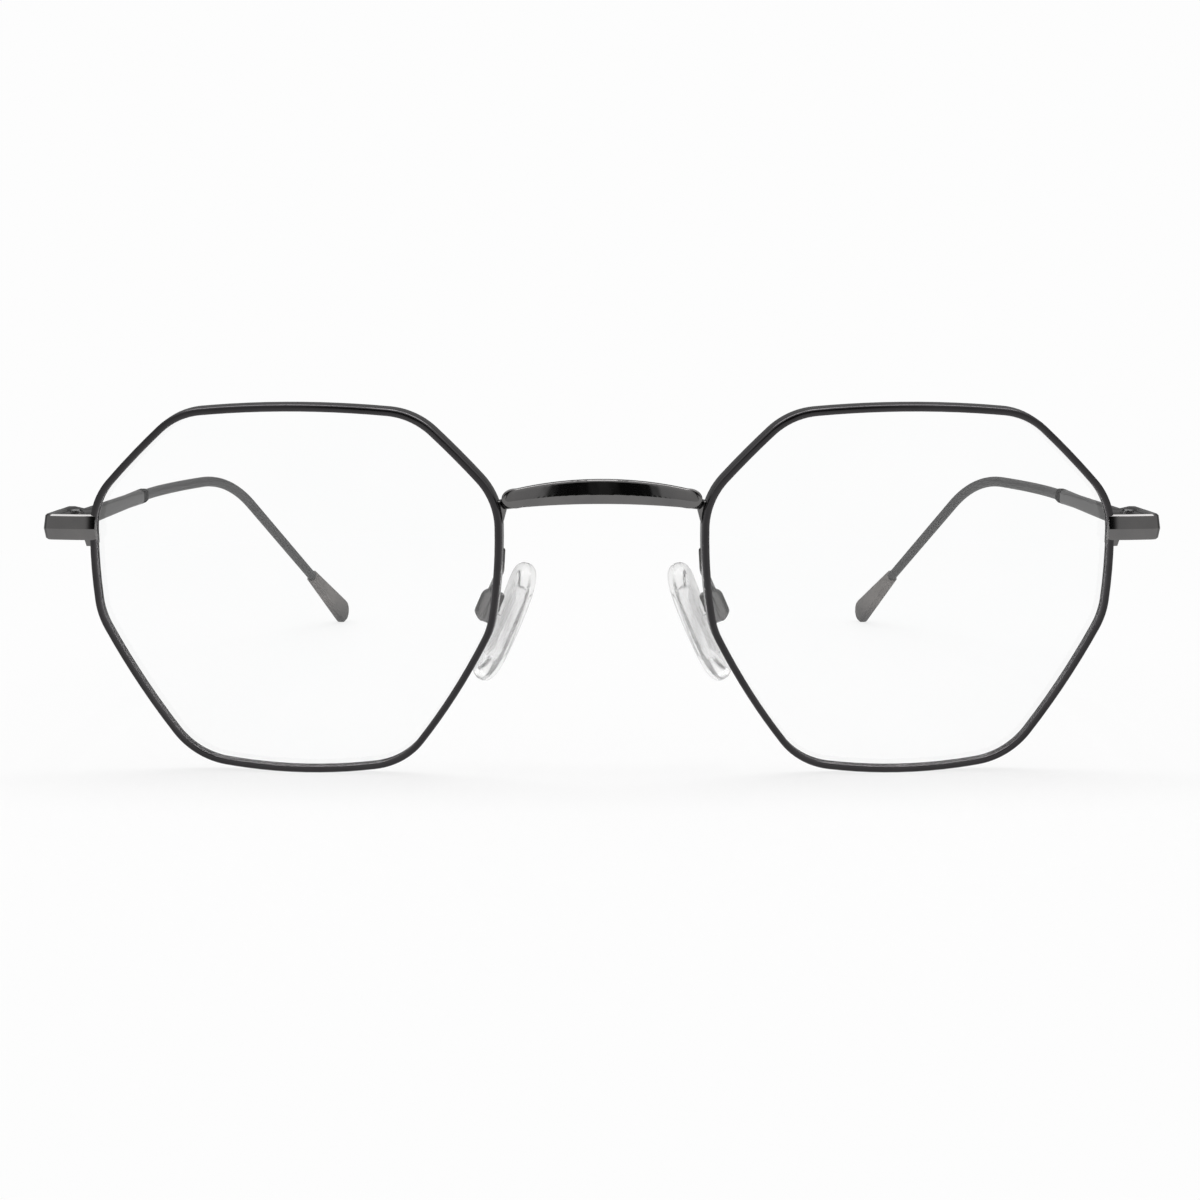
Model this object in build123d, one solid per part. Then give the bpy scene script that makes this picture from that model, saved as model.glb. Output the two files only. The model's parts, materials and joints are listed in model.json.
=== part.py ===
from build123d import *
import math
import os

# Full-rim metal spectacle frame, open, standing on its two rims and two temple tips.
# While it is built, X runs to the wearer's left, Y back towards the ears and Z up,
# with Y = 0 and Z = 0 at the height and depth of the lens centres.
# The wearer's left half is modelled, and the right half is its mirror image.

# Rim and lens outline, seen along the lens axis, from the nose side clockwise
rim_width = 50.0
rim_height = 45.2
lens_gap = 22.0
corner_radius = 9.0
corner_shares = [
    (-0.566, 0.956),
    (0.566, 0.936),
    (1.002, 0.450),
    (0.998, -0.178),
    (0.562, -0.963),
    (-0.485, -0.957),
    (-0.924, -0.193),
    (-0.961, 0.512),
]
bow_shares = [0.032, 0.018, 0.024, 0.022, 0.048, 0.030, 0.033, 0.019]

# Stance of each lens, in degrees, and the curve that rims and lenses follow
wrap_angle = 6.0
lean_angle = 9.0
base_curve_radius = 145.0

# Rim wire and its lens groove
rim_wire = 0.7
rim_depth = 2.0
groove_depth = 0.3
groove_width = 1.3
seat_clearance = 0.02

# Rim lock behind the endpiece
rim_split = 0.2
split_height = 5.5
block_width = 1.4
block_outboard = 1.1
block_front_setback = 1.0
block_back_depth = 1.4
block_upper_height = 2.6
block_lower_height = 1.1
block_taper = 0.3
closing_screw_outboard = 0.3
closing_screw_diameter = 0.8
closing_screw_bite = 1.8

# Endpiece, a faceted bar that turns back to the hinge
endpiece_reach = 5.7
endpiece_overlap = 0.9
side_height = 7.57
endpiece_height = 3.05
endpiece_thickness = 1.15
gable = 0.25
endpiece_ridge_share = 0.44
endpiece_lead = 0.8
endpiece_sweep = 1.3
endpiece_corner_radius = 1.3
edge_bevel = 0.2

# Hinge
hinge_setback = 7.15
knuckle_radius = 1.0
knuckle_clearance = 0.1
bottom_knuckle = 0.85
middle_knuckle = 0.8
top_knuckle = 0.75
knuckle_gap = 0.05
butt_gap = 0.05
hinge_plate_thickness = 0.9
hinge_plate_length = 4.2
hinge_screw_diameter = 1.0
hinge_running_clearance = 0.05

# Bridge
bridge_end_height = 11.45
bridge_end_inset = 2.17
bridge_end_setback = 0.16
bridge_bow = 1.0
bridge_rise = 0.92
bridge_bar_height = 2.9
bridge_bar_end_height = 2.2
bridge_thickness = 1.5
bridge_gable = 0.35
bridge_ridge_share = 0.64
bridge_turn_radius = 0.35
bridge_turn_angle = 72.0
bridge_shoulder_lead = 0.3
bridge_shoulder_run = 2.4
bridge_shoulder_drop = 1.4
gusset_top = 11.2
gusset_drop = 3.4
gusset_width = 0.9
gusset_setback = 0.3
gusset_thickness = 1.3

# Nose pads and their arms
pad_spread = 11.55
pad_depth = 8.4
pad_height = -4.4
pad_tilt = 23.5
pad_splay = 10.0
pad_length = 15.1
pad_width = 7.8
pad_thickness = 2.4
pad_corner_radius = 3.4
pad_edge_bevel = 0.8
pad_lift = 0.95
pad_pin_rise = 1.15
core_length = 9.0
core_width = 4.0
core_thickness = 0.7
core_corner_bevel = 1.2
lug_radius = 0.65
lug_width = 1.4
box_length = 3.4
box_wall = 0.45
box_rim = 0.6
box_side_clearance = 0.1
box_floor_clearance = 0.05
pad_pin_diameter = 0.7
pad_pin_clearance = 0.05
pad_arm_diameter = 1.0
pad_arm_sink = 0.05
foot_top = 5.2
foot_bottom = 2.4
foot_sink = 0.1
pad_arm_tail = 1.4
pad_arm_neck = 2.4
pad_arm_bend_radius = 1.2

# Temple arm
arm_root_length = 4.9
arm_taper_length = 6.7
arm_drop = 0.45
arm_height = 2.15
arm_neck_height = 1.8
arm_edge_bevel = 0.2
arm_flare_start = 38.0
collar_end = 46.0
collar_height = 2.0
collar_width = 1.5
collar_bevel = 0.4

# Ring, sleeve and tip
rod_sides = 8
wire_width = 0.7
wire_height = 1.0
ring_length = 3.0
ring_width = 1.5
ring_height = 2.0
sleeve_diameter = 1.55
side_curve_radius = 108.0
side_curve_angle = 14.7
ear_bend_radius = 38.0
ear_bend_angle = 29.5
tip_length = 18.0
tip_start_height = 2.1
tip_end_height = 4.2
tip_thickness = 1.6
tip_edge_bevel = 0.4
tip_socket_depth = 3.0

# Values that follow from the ones above
lens_spacing = rim_width + lens_gap
rim_reach = (lens_spacing + rim_width) / 2
front_half_width = rim_reach + endpiece_reach
arm_outer = front_half_width - gable
arm_inner = arm_outer - endpiece_thickness
arm_middle = (arm_outer + arm_inner) / 2
hinge_offset = arm_inner - knuckle_clearance - knuckle_radius
knuckle_stack = bottom_knuckle + middle_knuckle + top_knuckle + 2 * knuckle_gap
middle_bottom = bottom_knuckle + knuckle_gap - knuckle_stack / 2
middle_top = middle_bottom + middle_knuckle
groove_setback = (rim_depth - groove_width) / 2
overrun = rim_depth
up = Vector(0, 0, 1)
back = Vector(0, 1, 0)


def slab(left, right, near, far, bottom, top):
    place = Pos((left + right) / 2, (near + far) / 2, (bottom + top) / 2)
    return place * Box(right - left, far - near, top - bottom)


# Lens frame: x outwards from the nose, y up, z forwards
def lean(direction):
    return direction.rotate(Axis.Z, wrap_angle).rotate(Axis.X, lean_angle)


lens_plane = Plane(
    origin=(lens_spacing / 2, 0, 0),
    x_dir=lean(Vector(1, 0, 0)),
    z_dir=lean(Vector(0, -1, 0)),
)
in_front = lens_plane.location


# Each side is a slightly bowed arc, so the outline is what eight large discs share
def side_disc(start, end, bow_share, inset):
    run = end - start
    outward = Vector(-run.Y, run.X).normalized()
    bow = run.length * bow_share
    radius = run.length**2 / (8 * bow) + bow / 2
    centre = (start + end) / 2 + outward * (bow - radius)
    return Plane(origin=centre, x_dir=-outward, z_dir=up) * Circle(radius - inset)


def outline(inset=0):
    corners = []
    for across_share, up_share in corner_shares:
        corners.append(Vector(across_share * rim_width / 2, up_share * rim_height / 2))
    face = Rectangle(lens_spacing, lens_spacing)
    for index, start in enumerate(corners):
        end = corners[(index + 1) % len(corners)]
        face = face & side_disc(start, end, bow_shares[index], inset)
    return fillet(face.vertices(), corner_radius - inset)


def prism(inset=0):
    return extrude(outline(inset), amount=rim_width / 4, both=True)


def ball(depth):
    centre = Pos(0, 0, -base_curve_radius)
    return centre * Rot(90, 0, 0) * Sphere(base_curve_radius - depth)


def shell(front_depth, back_depth):
    return ball(front_depth) - ball(back_depth)


def surface_height(across, height, depth=0):
    radius = base_curve_radius - depth
    return math.sqrt(radius**2 - across**2 - height**2) - base_curve_radius


def side_wall(height):
    probe = Pos(0, height, 0) * Box(lens_spacing, seat_clearance, seat_clearance)
    span = (prism() & probe).bounding_box()
    return span.min.X, span.max.X


def front_point(across, height):
    return lens_plane.from_local_coords(Vector(across, height, surface_height(across, height)))


# The rim's front edge where the endpiece and the bridge meet it, and what lines up with it
endpiece_seat = front_point(side_wall(split_height)[1], split_height)
endpiece_inner_depth = endpiece_seat.Y - endpiece_lead
endpiece_outer_depth = endpiece_inner_depth + endpiece_sweep
hinge_depth = endpiece_outer_depth + hinge_setback
bridge_seat = front_point(side_wall(gusset_top)[0], gusset_top)
bridge_half_span = bridge_seat.X - bridge_end_inset
bridge_end_depth = bridge_seat.Y + bridge_end_setback


# The space that a rim and its lens fill, which seats everything brazed to the rim
def rim_room():
    return prism() & shell(0, rim_depth)


def rim():
    groove_room = shell(groove_setback, groove_setback + groove_width)
    band = rim_room() - prism(rim_wire) - (prism(rim_wire - groove_depth) & groove_room)
    split = Pos(rim_width / 2, split_height, 0) * Box(rim_width / 2, rim_split, rim_width / 2)
    return band - split


# The lens fills the groove all round, but for a clearance
def lens():
    front = groove_setback + seat_clearance
    back = groove_setback + groove_width - seat_clearance
    return prism(rim_wire - groove_depth + seat_clearance) & shell(front, back)


# Rim lock: two blocks behind and outside the split rim, and the screw that closes them
def block_room(bottom, top, taper=0):
    wall = side_wall(split_height)[1]
    outer = wall + block_outboard
    inner = outer - block_width
    corners = [(inner, top), (outer, top), (outer - taper, bottom), (inner, bottom)]
    depth = rim_depth + block_back_depth - block_front_setback
    back_face = surface_height(wall, split_height) - block_front_setback - depth
    return Pos(0, 0, back_face) * extrude(make_face(Polyline(*corners, close=True)), amount=depth)


def closing_pin(diameter, bottom, top):
    wall = side_wall(split_height)[1]
    forward = surface_height(wall, split_height) - rim_depth - block_back_depth / 2
    place = Pos(wall + closing_screw_outboard, (bottom + top) / 2, forward)
    return place * Rot(90, 0, 0) * Cylinder(diameter / 2, top - bottom)


def closing_block_upper():
    bottom = split_height + rim_split / 2
    hole_top = bottom + closing_screw_bite + seat_clearance
    hole = closing_pin(closing_screw_diameter + 2 * seat_clearance, bottom - rim_split, hole_top)
    return block_room(bottom, bottom + block_upper_height) - rim_room() - hole


def closing_block_lower():
    top = split_height - rim_split / 2
    bottom = top - block_lower_height
    hole = closing_pin(closing_screw_diameter + 2 * seat_clearance, bottom - rim_split, top + rim_split)
    return block_room(bottom, top, block_taper) - rim_room() - hole


def closing_screw():
    bottom = split_height - rim_split / 2 - block_lower_height
    top = split_height + rim_split / 2 + closing_screw_bite
    return closing_pin(closing_screw_diameter, bottom, top)


# A bar section with a flat back and two facets that meet in a ridge at the front
def gabled_face(plane, height, thickness, rise, ridge_share):
    half = height / 2
    ridge = height * ridge_share - half
    shoulder = thickness
    corners = [(0, -half), (shoulder, -half), (shoulder + rise, ridge), (shoulder, half), (0, half)]
    face = make_face(Polyline(*corners, close=True))
    bevelled = [v for v in face.vertices() if v.X < shoulder + rise / 2]
    return plane * chamfer(bevelled, edge_bevel)


def endpiece():
    inner = Vector(rim_reach - endpiece_overlap, endpiece_inner_depth, side_height)
    corner = Vector(arm_outer, endpiece_outer_depth, side_height)
    butt = Vector(arm_outer, hinge_depth, side_height)
    path = FilletPolyline(inner, corner, butt, radius=endpiece_corner_radius)
    along = (corner - inner).normalized()
    outward = along.cross(up)
    start = Plane(origin=inner - outward * endpiece_thickness, x_dir=outward, z_dir=-along)
    section = gabled_face(start, endpiece_height, endpiece_thickness, gable, endpiece_ridge_share)
    bar = sweep(section, path=path)
    return bar - in_front * rim_room() - in_front * closing_room()


def closing_room():
    bottom = split_height - rim_split / 2 - block_lower_height
    return block_room(bottom, split_height + rim_split / 2 + block_upper_height)


# Hinge, placed from the axis: x across, y back, z up from the middle of the temple arm
at_hinge = Pos(hinge_offset, hinge_depth, side_height)


def drum(radius, bottom, top):
    return Pos(0, 0, (bottom + top) / 2) * Cylinder(radius, top - bottom)


def front_hinge():
    reach = arm_inner - hinge_offset
    half = knuckle_stack / 2
    plate_left = reach - hinge_plate_thickness
    body = slab(plate_left, reach, -hinge_plate_length, 0, -half, half)
    for bottom, top in ((-half, middle_bottom - knuckle_gap), (middle_top + knuckle_gap, half)):
        body += drum(knuckle_radius, bottom, top)
        body += slab(0, reach, -knuckle_radius, 0, bottom, top)
    clear = knuckle_radius + knuckle_clearance / 2
    body -= drum(clear, middle_bottom - knuckle_gap, middle_top + knuckle_gap)
    body -= drum(hinge_screw_diameter / 2 + seat_clearance, -half - overrun, half + overrun)
    return at_hinge * body


def hinge_screw():
    half = knuckle_stack / 2
    return at_hinge * drum(hinge_screw_diameter / 2, -half, half)


def temple_hinge():
    reach = arm_inner - hinge_offset
    half = knuckle_stack / 2
    plate_left = reach - hinge_plate_thickness
    body = slab(plate_left, reach, butt_gap, hinge_plate_length, -half, half)
    clear = knuckle_radius + knuckle_clearance / 2
    body -= drum(clear, -half - overrun, half + overrun)
    body += drum(knuckle_radius, middle_bottom, middle_top)
    body += slab(0, reach, butt_gap, knuckle_radius + knuckle_clearance, middle_bottom, middle_top)
    bore = hinge_screw_diameter / 2 + hinge_running_clearance
    body -= drum(bore, -half - overrun, half + overrun)
    return at_hinge * body


# Bridge: an arched bar in front of the rims whose ends turn back to them.
# Its section is drawn downwards, so the ridge share counts from the top.
def bar_plane(path, position):
    along = path % position
    forward = along.cross(up).normalized()
    return Plane(origin=path @ position, x_dir=forward, z_dir=along)


def bar_section(path, position, height):
    plane = bar_plane(path, position)
    shoulder = bridge_thickness - bridge_gable
    return gabled_face(plane, height, shoulder, bridge_gable, bridge_ridge_share)


def bridge_turn(path):
    plane = bar_plane(path, 1)
    section = bar_section(path, 1, bridge_bar_end_height)
    pivot = plane.origin - plane.x_dir * bridge_turn_radius
    return revolve(section, Axis(pivot, -plane.y_dir), bridge_turn_angle)


# What falls away above the shoulders, where the bar slopes down to the rims
def shoulder_room():
    start = bridge_half_span - bridge_shoulder_lead
    end = start + bridge_shoulder_run
    top = bridge_end_height + bridge_bar_end_height / 2
    clear = top + overrun
    corners = [(start, top), (end, top - bridge_shoulder_drop), (end, clear), (start, clear)]
    face = make_face(Plane.XZ * Polyline(*corners, close=True))
    return extrude(face, amount=bridge_half_span, both=True)


def bridge_gusset():
    wall = side_wall(gusset_top - gusset_drop / 2)[0]
    front = surface_height(wall, gusset_top) - gusset_setback
    top = (wall - gusset_width, gusset_top)
    seat = (wall + rim_wire, gusset_top)
    foot = (wall + rim_wire, gusset_top - gusset_drop)
    toe = (wall, gusset_top - gusset_drop)
    face = make_face(Polyline(top, seat, foot, toe, close=True))
    return in_front * Pos(0, 0, front - gusset_thickness) * extrude(face, amount=gusset_thickness)


def bridge():
    left_end = Vector(-bridge_half_span, bridge_end_depth, bridge_end_height)
    middle = Vector(0, bridge_end_depth - bridge_bow, bridge_end_height + bridge_rise)
    right_end = Vector(bridge_half_span, bridge_end_depth, bridge_end_height)
    path = ThreePointArc(left_end, middle, right_end)
    sections = [
        bar_section(path, 0, bridge_bar_end_height),
        bar_section(path, 0.5, bridge_bar_height),
        bar_section(path, 1, bridge_bar_end_height),
    ]
    bar = sweep(sections, path=path, multisection=True)
    half = bridge_turn(path) + bridge_gusset() - in_front * rim_room()
    fall = shoulder_room()
    return bar + half + mirror(half, about=Plane.YZ) - fall - mirror(fall, about=Plane.YZ)


# Nose pad frame: x along the pad upwards, y backwards across it, z towards the nose
def pad_plane():
    along = up.rotate(Axis.Y, -pad_tilt)
    inward = Vector(-1, 0, 0).rotate(Axis.Y, -pad_tilt)
    inward = inward.rotate(Axis(Vector(0, 0, 0), along), -pad_splay)
    centre = Vector(pad_spread, pad_depth, pad_height)
    pin = centre + along * pad_pin_rise - inward * (pad_thickness / 2 + pad_lift)
    return Plane(origin=pin, x_dir=along, z_dir=inward)


pad_frame = pad_plane()
at_pad = pad_frame.location


def pad_pin(diameter, half_length):
    return Rot(90, 0, 0) * Cylinder(diameter / 2, 2 * half_length)


def pad_core():
    middle = pad_lift + pad_thickness / 2
    shape = Rectangle(core_length, core_width)
    plate = extrude(chamfer(shape.vertices(), core_corner_bevel), core_thickness)
    plate = Pos(-pad_pin_rise, 0, middle - core_thickness / 2) * plate
    post = slab(-lug_radius, lug_radius, -lug_width / 2, lug_width / 2, 0, middle)
    lug = pad_pin(2 * lug_radius, lug_width / 2)
    bore = pad_pin(pad_pin_diameter + 2 * pad_pin_clearance, lug_width)
    return plate + post + lug - bore


def nose_pad():
    blank = extrude(RectangleRounded(pad_length, pad_width, pad_corner_radius), pad_thickness)
    nose_face = blank.faces().sort_by(Axis.Z)[-1]
    blank = chamfer(nose_face.edges(), pad_edge_bevel)
    return Pos(-pad_pin_rise, 0, pad_lift) * blank - pad_core()


def box_floor():
    return -lug_radius - box_floor_clearance


def pad_box():
    half_length = box_length / 2
    half_gap = lug_width / 2 + box_side_clearance
    half_width = half_gap + box_wall
    bottom = box_floor() - box_wall
    shell_box = slab(-half_length, half_length, -half_width, half_width, bottom, box_rim)
    room = slab(-overrun, overrun, -half_gap, half_gap, box_floor(), box_rim + overrun)
    hole = pad_pin(pad_pin_diameter + 2 * seat_clearance, half_width + overrun)
    return shell_box - room - hole


def pad_screw():
    return pad_pin(pad_pin_diameter, lug_width / 2 + box_side_clearance + box_wall)


def foot_point(height):
    wall = side_wall(height)[0]
    across = wall + rim_wire / 2
    behind = surface_height(across, height, rim_depth) - pad_arm_diameter / 2 + foot_sink
    return lens_plane.from_local_coords(Vector(across, height, behind))


def pad_arm():
    lowest = box_floor() - box_wall - pad_arm_diameter / 2 + pad_arm_sink
    neck = pad_frame.from_local_coords(Vector(pad_arm_neck, 0, lowest))
    tail = pad_frame.from_local_coords(Vector(-pad_arm_tail, 0, lowest))
    points = [foot_point(foot_top), foot_point(foot_bottom), neck, tail]
    path = FilletPolyline(*points, radius=pad_arm_bend_radius)
    wire = rod(pad_arm_diameter, path)
    return wire - in_front * rim_room() - at_pad * pad_box()


# A thin round rod, with narrow flats along its length in place of the round
def rod(diameter, path):
    plane = Plane(origin=path @ 0, z_dir=path % 0)
    return sweep(plane * RegularPolygon(diameter / 2, rod_sides), path=path)


# Temple: the route of its core wire, from the collar over the ear bend to the tip
def turn(start, along, centre_side, radius, angle):
    def point(degrees):
        reach = along * (radius * math.sin(math.radians(degrees)))
        return start + reach + centre_side * (radius * (1 - math.cos(math.radians(degrees))))

    return ThreePointArc(start, point(angle / 2), point(angle))


collar_back = Vector(arm_middle, hinge_depth + collar_end, side_height - arm_drop)
ring_back = collar_back + back * ring_length
side_curve = turn(ring_back, back, Vector(-1, 0, 0), side_curve_radius, side_curve_angle)
heading = side_curve % 1
ear_bend = turn(side_curve @ 1, heading, -up, ear_bend_radius, ear_bend_angle)
falling = ear_bend % 1
tip_radius = tip_end_height / 2


def lowest_rim():
    return (in_front * rim()).bounding_box().min.Z


ground = lowest_rim()
tip_centre_drop = (ear_bend @ 1).Z - ground - tip_radius
tip_centre = ear_bend @ 1 + falling * (tip_centre_drop / -falling.Z)
tip_start = tip_centre - falling * (tip_length - tip_radius)
drop_line = Line(ear_bend @ 1, tip_start)


def sleeve_route():
    return Wire([side_curve.edge(), ear_bend.edge(), drop_line.edge()])


def wire_route():
    socket_end = tip_start + falling * tip_socket_depth
    straight = Line(collar_back, ring_back)
    drop = Line(ear_bend @ 1, socket_end)
    return Wire([straight.edge(), side_curve.edge(), ear_bend.edge(), drop.edge()])


def section_plane(path):
    return Plane(origin=path @ 0, x_dir=Vector(1, 0, 0), z_dir=path % 0)


def flat_bar(width, height, path):
    return sweep(section_plane(path) * Rectangle(width, height), path=path)


def wire_bore(path):
    return flat_bar(wire_width + 2 * seat_clearance, wire_height + 2 * seat_clearance, path)


def temple_arm():
    root = hinge_depth + butt_gap
    shoulder = hinge_depth + arm_root_length
    taper_end = shoulder + arm_taper_length
    flare = hinge_depth + arm_flare_start
    stations = [
        (root, endpiece_height / 2, 0),
        (shoulder, endpiece_height / 2, 0),
        (taper_end, arm_height / 2, arm_drop),
        (flare, arm_neck_height / 2, arm_drop),
    ]
    upper = [(y, half - drop) for y, half, drop in stations]
    lower = [(y, -half - drop) for y, half, drop in reversed(stations)]
    profile = make_face(Polyline(*upper, *lower, close=True))
    bends = [v for v in profile.vertices() if root < v.X < flare]
    profile = fillet(bends, arm_taper_length)
    side = Plane(origin=(arm_inner, 0, side_height), x_dir=back, z_dir=Vector(1, 0, 0))
    blade = extrude(side * profile, amount=endpiece_thickness)
    ends = blade.faces().sort_by(Axis.Y)
    end_edges = ends[0].edges() + ends[-1].edges()
    long_edges = [e for e in blade.faces().filter_by(Axis.X).edges() if e not in end_edges]
    blade = chamfer(long_edges, arm_edge_bevel)
    return blade + collar(flare) + flat_bar(wire_width, wire_height, wire_route())


def collar(flare):
    neck = Vector(arm_middle, flare, side_height - arm_drop)
    start = Plane(origin=neck, x_dir=Vector(1, 0, 0), z_dir=-back)
    end = Plane(origin=collar_back, x_dir=Vector(1, 0, 0), z_dir=-back)
    narrow = Rectangle(endpiece_thickness, arm_neck_height)
    wide = Rectangle(collar_width, collar_height)
    narrow = start * chamfer(narrow.vertices(), arm_edge_bevel)
    wide = end * chamfer(wide.vertices(), collar_bevel)
    return loft([narrow, wide])


def temple_ring():
    path = Line(collar_back, ring_back)
    section = Rectangle(ring_width, ring_height)
    section = section_plane(path) * chamfer(section.vertices(), collar_bevel)
    return sweep(section, path=path) - wire_bore(path)


def temple_sleeve():
    return rod(sleeve_diameter, sleeve_route()) - wire_bore(sleeve_route())


def temple_tip():
    flat = tip_length - tip_radius
    half = tip_start_height / 2
    outside = [
        Line((0, half), (flat, tip_radius)),
        ThreePointArc((flat, tip_radius), (tip_length, 0), (flat, -tip_radius)),
        Line((flat, -tip_radius), (0, -half)),
        Line((0, -half), (0, half)),
    ]
    blank = extrude(make_face(outside), amount=tip_thickness / 2, both=True)
    start_edges = blank.faces().sort_by(Axis.X)[0].edges()
    blank = chamfer([e for e in blank.edges() if e not in start_edges], tip_edge_bevel)
    room = 2 * seat_clearance
    socket = Box(2 * tip_socket_depth + room, wire_height + room, wire_width + room)
    plane = Plane(origin=tip_start, x_dir=falling, z_dir=heading.cross(falling))
    return plane.location * (blank - socket)


# Everything of the wearer's left half, under the names of its pieces
left_half = {
    "rim": in_front * rim(),
    "lens": in_front * lens(),
    "endpiece": endpiece(),
    "closing_block_upper": in_front * closing_block_upper(),
    "closing_block_lower": in_front * closing_block_lower(),
    "closing_screw": in_front * closing_screw(),
    "front_hinge": front_hinge(),
    "hinge_screw": hinge_screw(),
    "pad_arm": pad_arm(),
    "pad_box": at_pad * pad_box(),
    "pad_screw": at_pad * pad_screw(),
    "pad_core": at_pad * pad_core(),
    "nose_pad": at_pad * nose_pad(),
    "temple_arm": temple_arm(),
    "temple_hinge": temple_hinge(),
    "temple_ring": temple_ring(),
    "temple_sleeve": temple_sleeve(),
    "temple_tip": temple_tip(),
}

# The origin is on the ground under the middle of the whole frame
bridge_solid = bridge()
front_edge = bridge_solid.bounding_box().min.Y
back_edge = left_half["temple_tip"].bounding_box().max.Y
middle_depth = (front_edge + back_edge) / 2
to_ground = Pos(0, -middle_depth, -ground)

nodes = {"bridge": bridge_solid}
for name, solid in left_half.items():
    nodes[name + "_left"] = solid
    nodes[name + "_right"] = mirror(solid, about=Plane.YZ)

os.makedirs("parts", exist_ok=True)
for name, solid in nodes.items():
    export_step(to_ground * solid, f"parts/{name}.step")

# Places of the joints in the finished frame
hinge_place = to_ground * at_hinge
pad_place = to_ground * at_pad
print("hinge axis passes", hinge_place.position)
print("pad pin passes", pad_place.position, "along", pad_frame.y_dir)
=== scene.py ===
import json
import math

import bpy
from mathutils import Matrix, Vector


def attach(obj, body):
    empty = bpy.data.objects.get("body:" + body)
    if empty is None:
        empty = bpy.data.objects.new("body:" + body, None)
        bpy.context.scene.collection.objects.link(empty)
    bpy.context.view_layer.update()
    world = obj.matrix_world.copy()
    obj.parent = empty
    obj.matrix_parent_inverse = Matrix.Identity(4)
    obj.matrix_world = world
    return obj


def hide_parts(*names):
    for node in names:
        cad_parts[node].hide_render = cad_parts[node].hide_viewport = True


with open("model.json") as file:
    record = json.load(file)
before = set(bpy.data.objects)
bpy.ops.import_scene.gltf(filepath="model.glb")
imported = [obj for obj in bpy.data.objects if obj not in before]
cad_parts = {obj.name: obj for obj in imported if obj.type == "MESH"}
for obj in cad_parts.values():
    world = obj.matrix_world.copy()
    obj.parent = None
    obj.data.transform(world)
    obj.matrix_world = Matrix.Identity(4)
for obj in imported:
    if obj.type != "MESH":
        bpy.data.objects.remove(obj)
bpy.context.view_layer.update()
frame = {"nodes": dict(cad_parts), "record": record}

nodes = frame["nodes"]

MM = 0.001
SIDES = ("left", "right")

# Tolerances: two places that are one, corners to weld, and a hair's breadth round a place, in
# metres, then how nearly two directions agree, the kink of a flat face, and smooth all round
TOUCHING = 1e-7
WELD_REACH = 1e-6
HAIR = 0.1 * MM
ALIGNED = 0.9
FLAT_ENOUGH = math.radians(0.5)
ALL_ROUND = 180

# Camera, as the photograph was taken
CAMERA_HEIGHT = 53.86 * MM
CAMERA_DISTANCE = 334.07 * MM
CAMERA_PITCH = 6.972
FOCAL_LENGTH = 67.58
SENSOR_WIDTH = 36
PICTURE_WIDTH = 1200
PRINCIPAL_OFFSET = -2
NEAREST_SEEN = 0.01
FURTHEST_SEEN = 20

# Floor, and the white that it and the world show to the lens and through glass
FLOOR_SIZE = 6.0
FLOOR_COLOUR = 0.93
FLOOR_ROUGHNESS = 0.7
WHITE = 0.982
SHADOW_REACH = 0.12
NEAR_GLOW = 0.8

# Floor as metal mirrors it: its level in front and behind, and where one turns into the other
MIRROR_FLOOR = 0.92
FLOOR_BEHIND = 0.45
MIRROR_FALL = (-0.065, -0.02)

# Room as metal mirrors it, the level of each part, and the light that it sheds on all else
ROOM = 0.85
BACK_WALL = 0.28
LOW_ROOM = 0.75
PATCH = 0.01
PATCH_MIDDLE = 0.08
ROOM_LIGHT = 0.66

# Where one part of the room turns into the next, as parts of a direction
PATCH_SIDE_EDGE = (0.27, 0.33)
PATCH_TOP_EDGE = (0.55, 0.7)
PATCH_FAR_EDGE = (-0.45, -0.2)
PATCH_MIDDLE_EDGE = (0.02, 0.1)
BACK_WALL_SIDE = (0.35, 0.05)
BACK_WALL_TOP = (0.6, 0.8)
LOW_ROOM_TOP = (0.3, 0.65)

# Softboxes: how far to the side, how high, how wide, how long, watts
SOFTBOXES = (
    (0.0, 0.9, 0.16, 0.5, 1.0),
    (-0.36, 0.9, 0.47, 0.3, 1.8),
    (0.36, 0.9, 0.47, 0.3, 1.8),
)
SOFTBOX_BACK = 0.05

# Places of the wearer's left half, as in the solid model
PAD_PIN = Vector((13.033, -63.247, 19.873)) * MM
PAD_UP = Vector((-0.399, 0.0, 0.917))
PAD_BACK = Vector((0.159, 0.985, 0.069))
PAD_FRAME = Matrix.Translation(PAD_PIN) @ Matrix(
    (PAD_UP, PAD_BACK, PAD_UP.cross(PAD_BACK))
).transposed().to_4x4()
ARM_FOOT_TOP = Vector((11.85, -70.133, 27.82)) * MM
ARM_FOOT_BOTTOM = Vector((12.011, -69.779, 25.041)) * MM
HINGE = Vector((64.2, -59.578, 29.944)) * MM
HINGE_HALF_STACK = 1.25 * MM
LOCK_SCREW_BOTTOM = Vector((60.952, -64.357, 27.823)) * MM
LENS_UP = Vector((0.0, -0.156, 0.988))
LENS_CENTRE = Vector((36.0, -71.274, 22.374)) * MM
LENS_FORWARD = Vector((0.10453, -0.98228, -0.15558))
LENS_HALF_WIDTH = 23 * MM
BASE_CURVE = 145 * MM
SLEEVE_START = Vector((65.875, -10.578, 29.494)) * MM
TIP_START = Vector((51.026, 59.953, 9.93)) * MM
HEADING = Vector((-0.254, 0.967, 0.0))

# Edges as tumbling leaves them
BROKEN_EDGES = {
    "closing_block_upper": 0.08 * MM,
    "closing_block_lower": 0.1 * MM,
    "front_hinge": 0.06 * MM,
    "temple_hinge": 0.06 * MM,
    "temple_arm": 0.08 * MM,
    "temple_ring": 0.08 * MM,
    "temple_tip": 0.22 * MM,
}

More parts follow.
